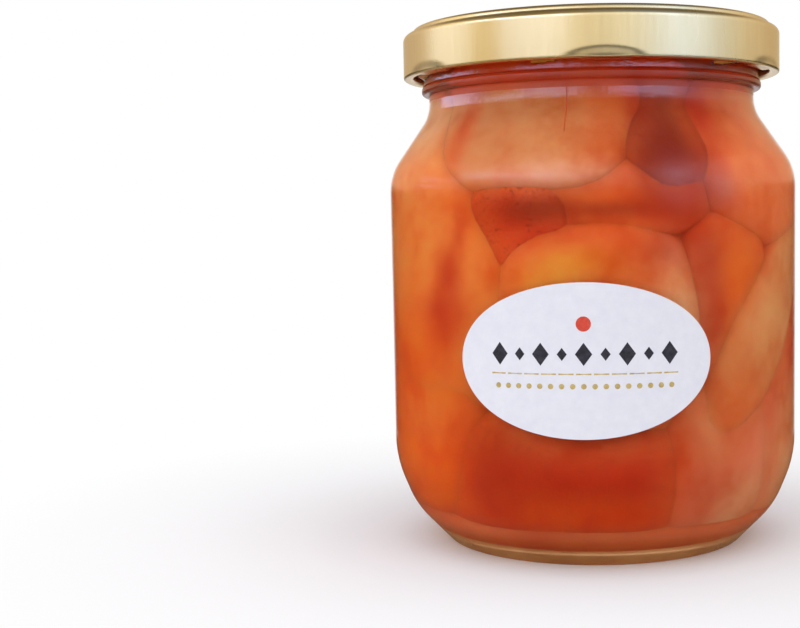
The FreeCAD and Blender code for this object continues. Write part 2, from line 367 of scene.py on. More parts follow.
def syrup_material():
    """Clear syrup that takes on an orange cast with depth."""
    nodes = material_nodes("amber_syrup")
    syrup = nodes.principled((1, 1, 1, 1), 0.25, {
        "IOR": 1.37, "Specular Tint": grey(0.05), "Transmission Weight": 1.0})
    depth = nodes.add("ShaderNodeVolumeAbsorption", {"Color": (0.97, 0.58, 0.26, 1), "Density": 130.0})
    return nodes.finish(lets_lamps_through(nodes, syrup), depth)


def fruit_material():
    """Soft flesh; each piece's mesh carries its tone, with painted shade, highlights and sheen in it, and
    how much freckled skin it has.
    """
    nodes = material_nodes("nectarine")
    place = nodes.place()
    flesh = nodes.add("ShaderNodeAttribute", attribute_name="tone").outputs["Color"]
    skin = nodes.add("ShaderNodeAttribute", attribute_name="skin").outputs["Fac"]
    cloud = nodes.ramp(nodes.noise(110.0, 5.0, 0.6, place), [
        (0.30, (0.90, 0.62, 0.45)), (0.50, (1.0, 0.97, 0.95)), (0.70, (1.04, 1.20, 1.25))])
    shaded = nodes.mix(1.0, flesh, cloud, "MULTIPLY")
    freckle = nodes.ramp(nodes.noise(1500.0, 2.0, 0.5, place), [(0.60, 0), (0.66, 1)])
    freckled = nodes.maths("MULTIPLY", freckle, nodes.maths("MULTIPLY", skin, 0.6))
    coloured = nodes.mix(freckled, shaded, (0.20, 0.01, 0.006, 1))
    bump = nodes.bump(0.3, 0.0004, nodes.noise(700.0, 3.0, 0.6, place))
    fruit = nodes.principled(coloured, 0.5, {
        "Specular IOR Level": 0.02, "Normal": bump, **FLESH_DEPTH})
    return nodes.finish(fruit)


def core_material():
    """The deep red-orange seen between the pieces."""
    nodes = material_nodes("deep_syrup")
    tone = nodes.ramp(nodes.noise(60.0, 3.0, 0.5, nodes.place()),
                      [(0.3, (0.74, 0.11, 0.025)), (0.7, (0.88, 0.19, 0.05))])
    return nodes.finish(nodes.principled(tone, 0.6, {"Specular IOR Level": 0.1, **FLESH_DEPTH}))


def gold_material():
    """Gold lacquer on metal, with a faint upright grain."""
    nodes = material_nodes("gold_lacquer")
    place = nodes.place()
    upright = nodes.add("ShaderNodeMapping", {"Vector": place, "Scale": (1, 1, 0.1)})
    wear = nodes.ramp(nodes.noise(35.0, 1.0, 0.4, place), [(0.3, 0.24), (0.7, 0.29)])
    bump = nodes.bump(0.1, 0.00005, nodes.noise(2200.0, 2.0, 0.6, upright))
    tone = nodes.ramp(nodes.noise(900.0, 3.0, 0.6, upright),
                      [(0.35, (0.845, 0.665, 0.388)), (0.65, (0.875, 0.695, 0.412))])
    return nodes.finish(nodes.principled(tone, wear, {"Metallic": 1.0, "Normal": bump}))


def lining_material():
    """The brown-gold inside of the lid."""
    nodes = material_nodes("lid_lining")
    tone = nodes.ramp(nodes.noise(140.0, 3.0, 0.6, nodes.place()),
                      [(0.3, (0.62, 0.30, 0.09)), (0.7, (0.72, 0.38, 0.13))])
    return nodes.finish(nodes.principled(tone, 0.4, {"Specular IOR Level": 0.3}))


def paper_material():
    """White paper with a fine tooth."""
    nodes = material_nodes("label_paper")
    place = nodes.place()
    mottle = nodes.ramp(nodes.noise(420.0, 4.0, 0.6, place),
                        [(0.3, (0.74, 0.745, 0.82)), (0.7, (0.79, 0.795, 0.86))])
    bump = nodes.bump(0.1, 0.0001, nodes.noise(2600.0, 2.0, 0.6, place))
    return nodes.finish(nodes.principled(mottle, 0.65, {"Specular IOR Level": 0.3, "Normal": bump}))


def ink_material(name, dark, light, roughness):
    """Printed ink between two tones."""
    nodes = material_nodes(name)
    tone = nodes.ramp(nodes.noise(900.0, 3.0, 0.6, nodes.place()), [(0.35, dark), (0.65, light)])
    return nodes.finish(nodes.principled(tone, roughness, {"Specular IOR Level": 0.3}))


# ------ Glass ------

THREAD_START = 100.3  # azimuth of a ramp's low end
THREAD_SPAN = 40.0
THREAD_RISE = 3.25
THREAD_LOW = BEAD_TOP + 1.0
THREAD_HEIGHT = 1.4
SEAMS = (-7.3, 172.7)  # azimuths of the mould seams
SEAM_RISE = 0.16
SEAM_SPREAD = 0.28
WAVE_DEPTH = 0.03
MOUTH_DEPTH = 2.5  # below the rim, where the paths of the rim and of the inside meet
CLEAR, WETTED, PAINTED_REFLECTION, HEEL, GLEAMING, THREADS = range(6)  # the jar's materials, in order


def inner_corners(inset=0.0):
    """The inside of the glass from the floor up to the neck, moved in by an inset."""
    shift = WALL + inset
    return [
        (0, FLOOR + inset, 0),
        (20.0, FLOOR - 0.2 + inset, 30.0),
        (BASE - 0.4 - 0.5 * inset, FLOOR_EDGE + inset, 3.5),
        (BODY - 6.1 - 0.8 * inset, 9.95 + 0.6 * inset, 14.0),
        (BODY - shift, 19.5, 20.0),
        (BODY - shift, BODY_TOP, 12.9 - shift),
        (NECK - shift, SHOULDER_TOP, 9.1 + shift),
    ]


def outer_corners():
    """The outside of the glass from the middle of its base up to the rim."""
    return [
        (0, 2.2, 0),
        (BASE - 5.0, 2.2, 1.0),
        (BASE - 2.6, 0, 0.5),
        (BASE, 0, 0.8),
        (BODY - 4.2, 8.15, 18.0),
        (BODY, 18.6, 25.0),
        (BODY, BODY_TOP, 12.9),
        (NECK, SHOULDER_TOP, 9.1),
        (NECK, BEAD_LOW, 0.3),
        (BEAD, BEAD_LOW, 0.75),
        (BEAD, BEAD_TOP, 0.75),
        (FINISH, BEAD_TOP, 0.3),
        (FINISH, RIM, 1.2),
    ]


OUTER_PATH = rounded_path(outer_corners()[2:], 5.0, 3.0)


def glass_shape(r, z, azimuth):
    """Thread ramps above the bead, mould seams, and the faint unevenness of pressed glass."""
    outside = r > np.interp(z, OUTER_PATH[:, 1], OUTER_PATH[:, 0]) - 1.2
    lift = np.zeros_like(r)
    for turn in range(LUGS):
        along = apart(azimuth, THREAD_START + turn * LUG_TURN) % 360
        low = THREAD_LOW + THREAD_RISE * np.clip(along / THREAD_SPAN, 0, 1)
        high = low + THREAD_HEIGHT
        ends = smooth(0, 5, along) * (1 - smooth(THREAD_SPAN - 5, THREAD_SPAN, along))
        band = smooth(low - 0.1, low + 0.5, z) * (1 - smooth(high - 0.5, high + 0.1, z))
        lift = np.maximum(lift, ends * band)
    finish = (np.abs(r - FINISH) < 0.4) & (z > BEAD_TOP) & (z < RIM - 0.5)
    r = r + np.where(finish, lift * (THREAD - FINISH), 0)
    for seam in SEAMS:
        ridge = np.exp(-(apart(azimuth, seam) / SEAM_SPREAD) ** 2)
        above = smooth(6, 14, z) * (1 - smooth(RIM - 3, RIM - 1, z))
        r = r + np.where(outside, SEAM_RISE * ridge * above, 0) * (r < BODY - SEAM_RISE - 0.01)
    turn = np.radians(azimuth)
    wave = np.sin(turn * 3 + 0.7) * np.sin(z / 17) + 0.6 * np.sin(turn * 7 + z / 9)
    hollow = WAVE_DEPTH * (1 + wave / 1.6) * smooth(10, 25, z) * (1 - smooth(70, 95, z))
    r = r - np.where(outside & (r > BODY - 1.0), hollow, 0)
    return r, z


def seam_near(spot):
    azimuth = math.degrees(math.atan2(spot.y, spot.x)) - FRONT
    return min(abs(apart(azimuth, seam)) for seam in SEAMS) < 0.2


def glass_zone(face):
    """Which of the jar's materials a face has."""
    reach, z, inward = place_of(face)
    wet_wall = inward and 3 < z < LEVEL
    wet_floor = face.normal.z > 0.3 and 3 < z < LEVEL - 1 and reach < BASE + 1
    if wet_wall or wet_floor:
        return WETTED
    if inward:
        return CLEAR
    # the threads take glass whose gold-brown is a painted reflection of the lid's lining
    if z > BEAD_TOP + 0.4 and reach > FINISH + 0.3:
        return THREADS
    # the bead and the seams near the neck take glass whose red is a painted reflection of the fruit behind
    if BEAD_LOW - 1.2 < z < BEAD_TOP + 0.4 and reach > NECK - 0.2:
        return PAINTED_REFLECTION
    if z < 4.2:
        return HEEL
    if SHOULDER_TOP - 6 < z < BEAD_LOW and seam_near(face.center):
        return PAINTED_REFLECTION
    if z > SHOULDER_TOP + 0.5:
        return GLEAMING
    return CLEAR


def make_glass(materials):
    """The jar as one closed surface; the wall where the threads are is cut finer than the rest."""
    finish_low = (FINISH, BEAD_TOP + 0.35, 0)
    finish_top = (FINISH, RIM - 1.2, 0)
    mouth = (NECK - WALL, RIM - MOUTH_DEPTH, 0)
    lower = rounded_path(outer_corners()[:-1] + [finish_low], 5.0, 3.0)
    finish = rounded_path([finish_low, finish_top], longest=0.22)
    rim = rounded_path([finish_top, (FINISH, RIM, 1.15), (NECK - WALL, RIM, 1.15), mouth], 12.0, 3.0)
    inside = rounded_path(inner_corners() + [mouth], 5.0, 4.0)[::-1]
    path = np.vstack([lower[:-1], finish[:-1], rim[:-1], inside])
    columns = around_jar(1.2, SEAMS, 0.11, 0.55)
    glass = revolve("jar_glass", path, columns, materials[0], glass_shape, sharp=40)
    for extra in materials[1:]:
        glass.data.materials.append(extra)
    for face in glass.data.polygons:
        face.material_index = glass_zone(face)
    return glass


def make_syrup(material):
    """The syrup, which reaches just into the glass all round so that no air gap shows."""
    corners = inner_corners(-0.3)
    corners += [(NECK - WALL + 0.3, LEVEL, 0.4), (0, LEVEL, 0)]
    path = rounded_path(corners, 5.0, 4.0)
    return revolve("syrup", path, around_jar(2.5), material)


# ------ Fruit ------

INNER_PATH = rounded_path(inner_corners() + [(NECK - WALL, RIM, 0)], 4.0, 2.0)
LOWEST = int(np.argmin(INNER_PATH[:, 1]))
WALL_PATH = INNER_PATH[LOWEST:]
FLOOR_PATH = INNER_PATH[:LOWEST + 1]
FILM = 0.35  # syrup between the fruit and the glass
PRESS = 9.0  # how sharply a piece flattens where something stops it
CROWD_REACH = 55.0  # farther apart than this, pieces don't press on each other
BLEND_REACH = 62.0  # and farther apart than this, they don't share their tones
PIT_DEPTH = 6.0
PIT_REACH = 8.0


def room(z):
    """How far fruit may reach from the axis at a height."""
    return np.interp(z, WALL_PATH[:, 1], WALL_PATH[:, 0]) - FILM


def reach_to_wall(centre, ways):
    """Distance from a centre to the inside of the glass along each direction."""
    low = np.zeros(len(ways))
    high = np.full(len(ways), 110.0)
    for _ in range(22):
        middle = (low + high) / 2
        points = centre + ways * middle[:, None]
        across = np.hypot(points[:, 0], points[:, 1])
        floor = np.interp(across, FLOOR_PATH[:, 0], FLOOR_PATH[:, 1])
        height = points[:, 2]
        inside = (across < room(height)) & (height > floor + FILM) & (height < LEVEL - 1.0)
        low = np.where(inside, middle, low)
        high = np.where(inside, high, middle)
    return low


def sphere(level):
    """Directions and faces of an even sphere."""
    build = bmesh.new()
    bmesh.ops.create_icosphere(build, subdivisions=level, radius=1.0)
    build.verts.ensure_lookup_table()
    ways = np.array([v.co[:] for v in build.verts])
    faces = [tuple(v.index for v in f.verts) for f in build.faces]
    build.free()
    return ways / np.linalg.norm(ways, axis=1)[:, None], faces


def value_noise(points, scale, seed):
    """Soft noise, mostly within -1 to 1, from a few seeded waves."""
    draw = np.random.default_rng(seed)
    total = np.zeros(len(points))
    for octave in range(3):
        for _ in range(5):
            way = draw.normal(size=3)
            way /= np.linalg.norm(way)
            total += np.sin(points @ way * (2 ** octave) / scale + draw.uniform(0, 6.28)) / (2 ** octave)
    return total / 5


class Piece:
    """One piece of fruit: a rounded body pressed against the glass and its neighbours.

    size holds half lengths along the wall, up it and inwards; inward is how far the centre lies
    from the glass, and deep how far the piece stays back from it; spots are (azimuth, height, half
    width, half height, tone, strength); pit is the place of the stone's mark; boxy is 2 for an
    ellipsoid and more for a squarer body; a crowded piece is cut short by its neighbours; blend is
    how much of its neighbours' tones it takes on.
    """

    def __init__(self, name, azimuth, height, inward, size, tone, spots=(), tilt=0.0, skin=0.0,
                 deep=0.0, pit=None, boxy=2.4, crowded=False, blend=0.8):
        self.name = name
        self.azimuth = azimuth
        self.centre = on_wall(azimuth, height, float(room(height)) - inward)
        self.size = np.array(size, float)
        self.tone = tone
        self.spots = spots
        self.tilt = tilt
        self.skin = skin
        self.deep = deep
        self.pit = pit
        self.boxy = boxy
        self.crowded = crowded
        self.blend = blend

    def axes(self):
        a = math.radians(self.azimuth + FRONT)
        out = np.array([math.cos(a), math.sin(a), 0])
        along = np.array([-math.sin(a), math.cos(a), 0])
        up = np.array([0, 0, 1.0])
        t = math.radians(self.tilt)
        tilted_along = along * math.cos(t) + up * math.sin(t)
        tilted_up = up * math.cos(t) - along * math.sin(t)
        return np.array([tilted_along, tilted_up, out])

    def pit_place(self):
        azimuth, height = self.pit
        return on_wall(azimuth, height, float(room(height)))


def shape_piece(piece, others, ways, seed):
    """Points of a piece: its own shape, cut short by the glass and by its neighbours."""
    local = np.abs(ways @ piece.axes().T)
    own = ((local / piece.size) ** piece.boxy).sum(1) ** (-1 / piece.boxy)
    own *= 1 + 0.04 * value_noise(ways, 0.5, seed)
    total = own ** -PRESS
    wall = np.maximum(reach_to_wall(piece.centre, ways) - piece.deep, 1.0)
    total += wall ** -PRESS
    neighbours = others if piece.crowded else []
    for other in neighbours:
        between = other.centre - piece.centre
        distance = np.linalg.norm(between)
        if other is piece or distance > CROWD_REACH:
            continue
        toward = between / distance
        mine = float(((np.abs(piece.axes() @ toward) / piece.size) ** 2).sum() ** -0.5)
        theirs = float(((np.abs(other.axes() @ toward) / other.size) ** 2).sum() ** -0.5)
        share = distance * mine / (mine + theirs) + 0.4
        facing = ways @ toward
        limit = np.where(facing > 0.02, share / np.maximum(facing, 0.02), 1e4)
        total += limit ** -PRESS
    reach = total ** (-1 / PRESS)
    points = piece.centre + ways * reach[:, None]
    if piece.pit is not None:
        away = np.linalg.norm(points - piece.pit_place(), axis=1)
        dent = PIT_DEPTH * np.exp(-(away / PIT_REACH) ** 4)
        points = points - piece.axes()[2] * dent[:, None]
    return points


def toned(colour, share, tone):
    """Colours moved towards a tone by each point's share."""
    return colour * (1 - share[:, None]) + np.array(tone[:3]) * share[:, None]


def tones_of(piece, points, wobble):
    """The piece's own tone, with soft spots of others."""
    azimuth = np.degrees(np.arctan2(points[:, 1], points[:, 0])) - FRONT
    colour = np.repeat(np.array([piece.tone[:3]], float), len(points), 0)
    for spot_azimuth, spot_height, wide, tall, tone, strength in piece.spots:
        across = np.radians(apart(azimuth, spot_azimuth)) * BODY
        away = np.sqrt((across / wide) ** 2 + ((points[:, 2] - spot_height) / tall) ** 2)
        share = strength * np.exp(-(away * (1 + 0.18 * wobble)) ** 2.5)
        colour = toned(colour, share, tone)
    return colour


def depth_inside(piece, points):
    """1 on the piece's own shape, less inside it and more outside."""
    local = np.abs((points - piece.centre) @ piece.axes().T) / piece.size
    return (local ** piece.boxy).sum(1) ** (1 / piece.boxy)


def paint_piece(piece, others, points, seed):
    """The colour of each point: tones run into each other where pieces meet, with painted shade along the
    joins, and redden at the top, lightened just under the lid as painted light against its shade.
    """
    wobble = value_noise(points, 5.0, seed)
    mine = depth_inside(piece, points)
    colour = tones_of(piece, points, wobble)
    weight = np.ones(len(points))
    for other in others:
        if other is piece or np.linalg.norm(other.centre - piece.centre) > BLEND_REACH:
            continue
        theirs = depth_inside(other, points)
        if other.deep < piece.deep - 0.1:
            gap = np.maximum(theirs - 1, 0)
        elif other.deep > piece.deep + 0.1:
            gap = np.maximum(theirs - 1, 0) + np.maximum(1 - mine, 0)
        else:
            gap = np.maximum(theirs - mine, 0)
        near = piece.blend * np.exp(-11 * gap)
        colour += tones_of(other, points, wobble) * near[:, None]
        weight += near
    colour /= weight[:, None]
    if piece.pit is not None:
        gap = points - piece.pit_place()
        away = np.linalg.norm(gap, axis=1)
        along, up, _ = piece.axes()
        rays = 0.5 + 0.5 * np.sin(np.arctan2(gap @ up, gap @ along) * 19 + 2 * wobble)
        colour = toned(colour, 0.8 * np.exp(-(away / (9.0 + 4.0 * rays)) ** 3), RED)
    # painted shade: a brick-red darkening where pieces meet
    colour = toned(colour, 0.3 * (1 - 1 / weight), BRICK)
    # the top turns red and, nearer the lid, lighter: partly the fruit's own red, partly painted light
    # against the lid's shade
    colour = toned(colour, 0.85 * smooth(97, 103, points[:, 2]), SCARLET_AND_PAINTED_LIGHT)
    colour = toned(colour, smooth(100, 103, points[:, 2]), PAINTED_LIGHT_FLAME)
    return np.clip(colour * (1 + 0.05 * wobble[:, None]), 0, 1)


# a painted highlight: the glass shoulder's reflection of a window, laid on the fruit
PAINTED_HIGHLIGHT_PALE = linear(252, 192, 164)
PEACH = linear(246, 178, 128)
TAN = linear(238, 158, 98)
SAND = linear(226, 148, 97)
CORAL = linear(252, 134, 76)
ORANGE = linear(255, 136, 46)
GLOWING = linear(255, 146, 68)
BRIGHT = linear(253, 104, 2)
YELLOW = linear(254, 166, 62)
BROWN = linear(234, 110, 44)
BRICK = linear(226, 88, 38)
PINK = linear(244, 132, 96)
# a painted sheen: a bluish window's reflection on the glass, laid on the fruit
PAINTED_SHEEN_MAUVE = linear(180, 108, 124)
RED = linear(224, 56, 10)
RUST = linear(236, 84, 20)
CRIMSON = linear(216, 34, 24)
DARK = linear(190, 38, 10)
DEEP = linear(138, 20, 5)
# the next two lighten the top under the lid as painted light; the first is partly the fruit's own red
SCARLET_AND_PAINTED_LIGHT = linear(232, 40, 6)
PAINTED_LIGHT_FLAME = linear(255, 84, 24)
VERMILION = linear(214, 34, 3)
PATCH = linear(214, 66, 34)
# a painted shade for the valley between pieces
PAINTED_SHADE_PLUM = linear(180, 62, 50)
# a painted sheen: a soft bluish reflection on the glass, laid on the fruit
PAINTED_SHEEN_ORCHID = linear(196, 112, 104)


def front_pieces():
    """The pieces that show at the front, placed one by one."""
    return [
        Piece("half_top", -20, 93, 13, (22, 17.5, 32), SAND, [
            (-43, 88, 4, 9, BRICK, 0.8), (8, 98, 10, 8, BROWN, 0.9), (8, 86, 9, 10, BROWN, 0.6),
            # the pale band at 80.5 mm is a painted highlight, the shoulder's window reflection
            (17, 96, 6, 9, VERMILION, 0.6), (-8, 80.5, 22, 2.5, PAINTED_HIGHLIGHT_PALE, 0.9)],
            boxy=3.2),
        Piece("half_middle", 0, 48.5, 14, (23, 24.5, 32), CORAL, [
            (-3, 63.5, 9, 3.5, YELLOW, 0.9), (-14, 60, 8, 4, YELLOW, 0.7), (12, 62, 9, 5, BROWN, 0.7),
            # the orchid spot is a painted sheen, the glass's reflection of a bluish window
            (25, 53, 6.5, 13, PEACH, 1.0), (0, 71, 14, 3, CORAL, 0.8), (23, 67, 7, 5, PAINTED_SHEEN_ORCHID, 0.6)],
            boxy=2.6),
        Piece("skin_left", -22, 70, 13, (12.5, 11, 28), CRIMSON, [
            # the deep band at 74 mm is a painted shadow under half_top
            (-12, 74, 14, 3.4, DEEP, 0.9), (-30, 74, 4, 7, DARK, 0.8), (-20, 79.5, 16, 2.0, BROWN, 0.9)],
            skin=0.8, deep=1.3, blend=0.35),
        Piece("piece_under", 3, 76, 13, (24, 9, 28), BROWN, [
            # these deep and dark spots at 72-74 mm are a painted shadow under half_top
            (8, 73.5, 17, 2.0, DEEP, 0.9), (22, 74, 9, 5, DARK, 0.8), (-9, 72.5, 7, 4.5, DEEP, 0.8)],
            deep=2.0),
        Piece("left_tall", -64, 66, 13, (24, 41, 30), GLOWING, [
            (-64, 93, 14, 10, PEACH, 0.8), (-60, 60, 9, 14, ORANGE, 0.5), (-38, 70, 2, 6, BRICK, 0.8),
            (-42, 61, 4, 7, PATCH, 0.8), (-45, 52, 7, 7, PATCH, 0.9), (-70, 42, 20, 14, BRIGHT, 0.9)],
            boxy=2.6, tilt=30),
        Piece("left_low", -61, 29, 14, (22, 20, 30), BRIGHT, [
            (-46, 46, 8, 5, PATCH, 0.8), (-50, 33, 7, 8, ORANGE, 0.5), (-36, 24, 5, 14, RED, 0.8)],
            boxy=2.8, deep=0.2, tilt=-8),
        Piece("right_top", 63, 83, 13, (21, 18, 30), CORAL, [
            (46, 98, 12, 9, BROWN, 0.9), (82, 86, 11, 14, BRICK, 0.35), (36, 94, 6, 12, VERMILION, 0.8),
            # the mauve spot is a painted sheen, the glass's reflection of a bluish window
            (34, 77, 6, 5, PAINTED_SHEEN_MAUVE, 0.7)],
            tilt=-13, boxy=2.8),
        Piece("red_top", 22, 91, 13, (12, 18, 28), DEEP, [
            # the mauve spot is a painted sheen, the glass's reflection of a bluish window
            (26, 77, 7, 4.5, PAINTED_SHEEN_MAUVE, 0.9), (33, 94, 4, 8, BROWN, 0.4)],
            skin=0.4, deep=0.9, tilt=18, blend=0.55),
        Piece("orange_between", 42, 53, 13, (12, 22, 28), BROWN, [
            # the plum band is painted shade in the valley between this piece and its neighbours
            (31, 52, 6, 26, PAINTED_SHADE_PLUM, 1.0), (46, 60, 6, 7, ORANGE, 0.6)],
            deep=1.2, boxy=2.8),
        Piece("right_tall", 58, 50, 13, (10.5, 33, 28), TAN, [
            (42, 32, 9, 12, BROWN, 0.8)],
            tilt=-38),
        Piece("right_low", 72, 27, 14, (20, 22, 30), CORAL, [
            (58, 34, 6, 13, RED, 0.9), (75, 44, 8, 6, RED, 0.7), (52, 22, 8, 9, BRICK, 0.6),
            (74, 20, 20, 14, PEACH, 0.9)],
            tilt=-30, deep=0.9, boxy=3.2),
        # front_low's pink, with its peach spot at 33 degrees, is partly the fruit's own colour and partly
        # a painted reflection of a soft window on the glass
        Piece("front_low", 38, 22, 14, (15.5, 19, 28), PINK, [
            (46, 10, 14, 9, PEACH, 0.9), (33, 28, 5, 7, PEACH, 0.7), (20, 22, 5, 16, RUST, 0.9)],
            boxy=3.4, deep=0.5),
        Piece("red_bottom", -9, 19, 15, (28, 17, 30), DARK, [
            (0, 11, 38, 7, RUST, 0.9), (4, 24, 20, 6, VERMILION, 0.9), (-42, 20, 6, 14, RUST, 0.8),
            (22, 20, 5, 16, BRICK, 0.6)],
            skin=0.3, boxy=2.8, deep=0.3),
    ]


def back_pieces():
    """The seeded pieces at the sides and the back; pale ones are halves with the stone's mark."""
    draw = np.random.default_rng(11)
    tones = [TAN, CORAL, ORANGE, PEACH, BRICK, RED, ORANGE, CORAL]
    pieces = []
    for height in (24, 52, 84):
        for azimuth in (100, 138, 180, 222, 260):
            count = len(pieces)
            tone = tones[count % len(tones)]
            spot_tone = tones[(count + 3) % len(tones)]
            turn = azimuth + draw.uniform(-8, 8)
            size = (draw.uniform(15, 20), draw.uniform(16, 21), draw.uniform(13, 16))
            level = height + draw.uniform(-5, 5)
            inward = draw.uniform(13, 16)
            halved = tone in (TAN, PEACH)
            spots = []
            if not halved:
                spot = (turn + draw.uniform(-10, 10), level + draw.uniform(-8, 8), 9, 9, spot_tone, 0.7)
                spots.append(spot)
            pieces.append(Piece(
                "back_%d" % (count + 1), apart(turn, 0), level, inward, size, tone, spots,
                tilt=draw.uniform(-25, 25), skin=0.8 if tone in (RED, BRICK) else 0.0,
                pit=(turn, level) if halved else None, crowded=True))
    return pieces


def make_fruit(material):
    ways, faces = sphere(5)
    pieces = front_pieces() + back_pieces()
    made = []
    for number, piece in enumerate(pieces):
        points = shape_piece(piece, pieces, ways, 100 + number)
        shown = new_object("nectarine_" + piece.name, points, faces, material)
        tone = shown.data.attributes.new("tone", "FLOAT_COLOR", "POINT")
        colour = paint_piece(piece, pieces, points, 300 + number)
        tone.data.foreach_set("color", np.hstack([colour, np.ones((len(points), 1))]).ravel())
        skin = shown.data.attributes.new("skin", "FLOAT", "POINT")
        skin.data.foreach_set("value", np.full(len(points), piece.skin))
        made.append(shown)
    return made


def make_core(material):
    """The thick middle of the contents, a few millimetres behind the glass."""
    heights = np.concatenate([np.arange(FLOOR_EDGE + 0.25, 12, 0.7), np.arange(12, LEVEL - 1, 2.0)])
    behind = 0.1 + 5.4 * smooth(7, 16, heights)
    path = [(0, FLOOR + 0.35), (20, FLOOR + 0.15)]
    path += zip(room(heights) + FILM - behind, heights)
    path = np.array(path + [(0, heights[-1] + 0.5)])

    def lumps(r, z, azimuth):
        a = np.radians(azimuth)
        swell = np.sin(3 * a + z / 9) + np.sin(5 * a - z / 7 + 1) + np.sin(8 * a + z / 5 + 2)
        return r + 0.6 * swell * smooth(12, 20, z), z
    return revolve("contents_core", path, around_jar(3), material, lumps)


# ------ Lid ------

DENT_HALF = 13.0
DENT_RISE = 1.8
DENT_DEPTHS = (0.42, 0.12, 0.3, 0.36, 0.25, 0.12, 0.42)  # lug by lug, and the first again
LUG_HALF = 8.5
LUG_DEPTH = 1.25
LUG_DROP = 0.45


def lid_shape(r, z, azimuth):
    """Arched dents above the lugs, and the lugs that the lower edge is pressed into."""
    turn = apart(azimuth, LUG_FIRST) % 360
    away = np.abs((turn + LUG_TURN / 2) % LUG_TURN - LUG_TURN / 2)
    depth = np.interp(turn, np.arange(LUGS + 1) * LUG_TURN, DENT_DEPTHS)
    arch = LID_LOW + 0.3 + DENT_RISE * (1 - (away / DENT_HALF) ** 2)
    width = 1 - smooth(DENT_HALF * 0.5, DENT_HALF, away)
    shell = (r > SKIRT_IN - 0.05) & (z < LID_LOW + 4)
    r = r - np.where(shell, depth * width * smooth(-0.4, 1.8, arch - z), 0)
    lug = 1 - smooth(LUG_HALF - 2.5, LUG_HALF, away)
    curl = (z < LID_LOW + 1.6) & (r < SKIRT_IN + 0.2)
    inward = np.where(curl, 1 - np.clip((r - (CURL - 2.5)) / 1.2, 0, 1), 0)
    return r - LUG_DEPTH * lug * inward, z - LUG_DROP * lug * inward


def make_lid(outside, lining):
    """The lid as one closed shell, cut finer where its skirt is dented."""
    sheet = 0.3
    corners = [
        (0, PANEL + 0.25, 0),
        (9.5, PANEL + 0.25, 2.0),
        (11.0, PANEL, 2.0),
        (RING_IN - 1.6, PANEL, 1.0),
        (RING_IN, RING_TOP, 0.9),
        (RING_OUT, RING_TOP, 0.75),
        (RING_OUT + 0.15, STEP + 0.12, 0.18),
        (RING_OUT + 0.7, STEP + 0.02, 0.3),
        (SKIRT, STEP, 1.35),
        (SKIRT + 0.03, LID_LOW, 0.45),
        (CURL - 2.5, LID_LOW, 0.7),
        (CURL - 2.5, LID_LOW + 1.5, 0.6),
        (SKIRT_IN, LID_LOW + 1.55, 0.3),
        (SKIRT_IN, RIM + 0.05, 1.0),
        (SKIRT_IN - 6.2, RIM + 0.05, 0.4),
        (SKIRT_IN - 6.2, PANEL - sheet, 0.2),
        (0, PANEL - sheet, 0),
    ]
    path = rounded_path(corners, 10.0, 6.0)
    fine = []
    for before, after in zip(path[:-1], path[1:]):
        dented = min(before[1], after[1]) < LID_LOW + 5 and before[0] > SKIRT_IN - 0.1
        step = 0.25 if dented else 1.2
        on_panel = before[0] <= RING_IN - 4
        parts = 1 if on_panel else max(1, math.ceil(np.linalg.norm(after - before) / step))
        fine += [before + (after - before) * k / parts for k in range(parts)]
    path = np.array(fine + [path[-1]])
    lid = revolve("lid_metal", path, around_jar(0.75), outside, lid_shape, sharp=50)
    lid.data.materials.append(lining)
    for face in lid.data.polygons:
        reach, z, inward = place_of(face)
        inside_skirt = inward and reach < SKIRT_IN + 0.15 and LID_LOW + 0.6 < z < STEP
        under_top = face.normal.z < -0.5 and z > LID_LOW + 3
        if inside_skirt or under_top:
            face.material_index = 1
    return lid


# ------ Label ------

PAPER_GAP = 0.05  # from the paper's edge to the solid label's
LOZENGE_LEVEL = 1.4
LOZENGE_STEP = 4.3
RULE_LEVEL = -2.55
RULE_HALF = 0.15
DASH_STEP = 3.5
DASH_HALF = 1.5
DOT_LEVEL = -5.0
DOT_STEP = 2.2
DOT = 0.55
ROUND_LEVEL = 7.4
ROUND = 1.5


def wrapped(across, up, radius):
    """Points on the wall from places on the flat label, in millimetres from its middle."""
    azimuth = np.degrees(np.asarray(across, float) / BODY) + LABEL_TURN
    return on_wall(azimuth, LABEL_LEVEL + np.asarray(up, float), radius)


def plate(name, outline, material, back, face, rings=1):
    """A thin closed plate on the wall, from a flat outline round its own middle."""
    outline = np.asarray(outline, float)
    middle = outline.mean(0)
    count = len(outline)
    points, faces = [], []
    for radius in (face, back):
        points.append(wrapped([middle[0]], [middle[1]], radius))
        for ring in range(1, rings + 1):
            flat = middle + (outline - middle) * ring / rings
            points.append(wrapped(flat[:, 0], flat[:, 1], radius))
    points = np.vstack(points)
    half = 1 + rings * count
    for k in range(count):
        m = (k + 1) % count
        for base in (0, half):
            faces.append((base, base + 1 + k, base + 1 + m))
            for ring in range(rings - 1):
                a = base + 1 + ring * count
                b = a + count
                faces.append((a + k, b + k, b + m, a + m))
        outer = 1 + (rings - 1) * count
        faces.append((outer + k, half + outer + k, half + outer + m, outer + m))
    return new_object(name, points, faces, material, sharp=40)


def oval(across, up, wide, tall, count):
    turn = np.linspace(0, 2 * math.pi, count, endpoint=False)
    return np.stack([across + wide * np.cos(turn), up + tall * np.sin(turn)], 1)


def joined(name, parts):
    """One object from several."""
    with bpy.context.temp_override(active_object=parts[0], selected_editable_objects=parts):
        bpy.ops.object.join()
    parts[0].name = name
    parts[0].data.name = name
    return parts[0]


def row(count, step):
    """Places across the label, evenly about its middle."""
    return [(k - count // 2) * step for k in range(count)]


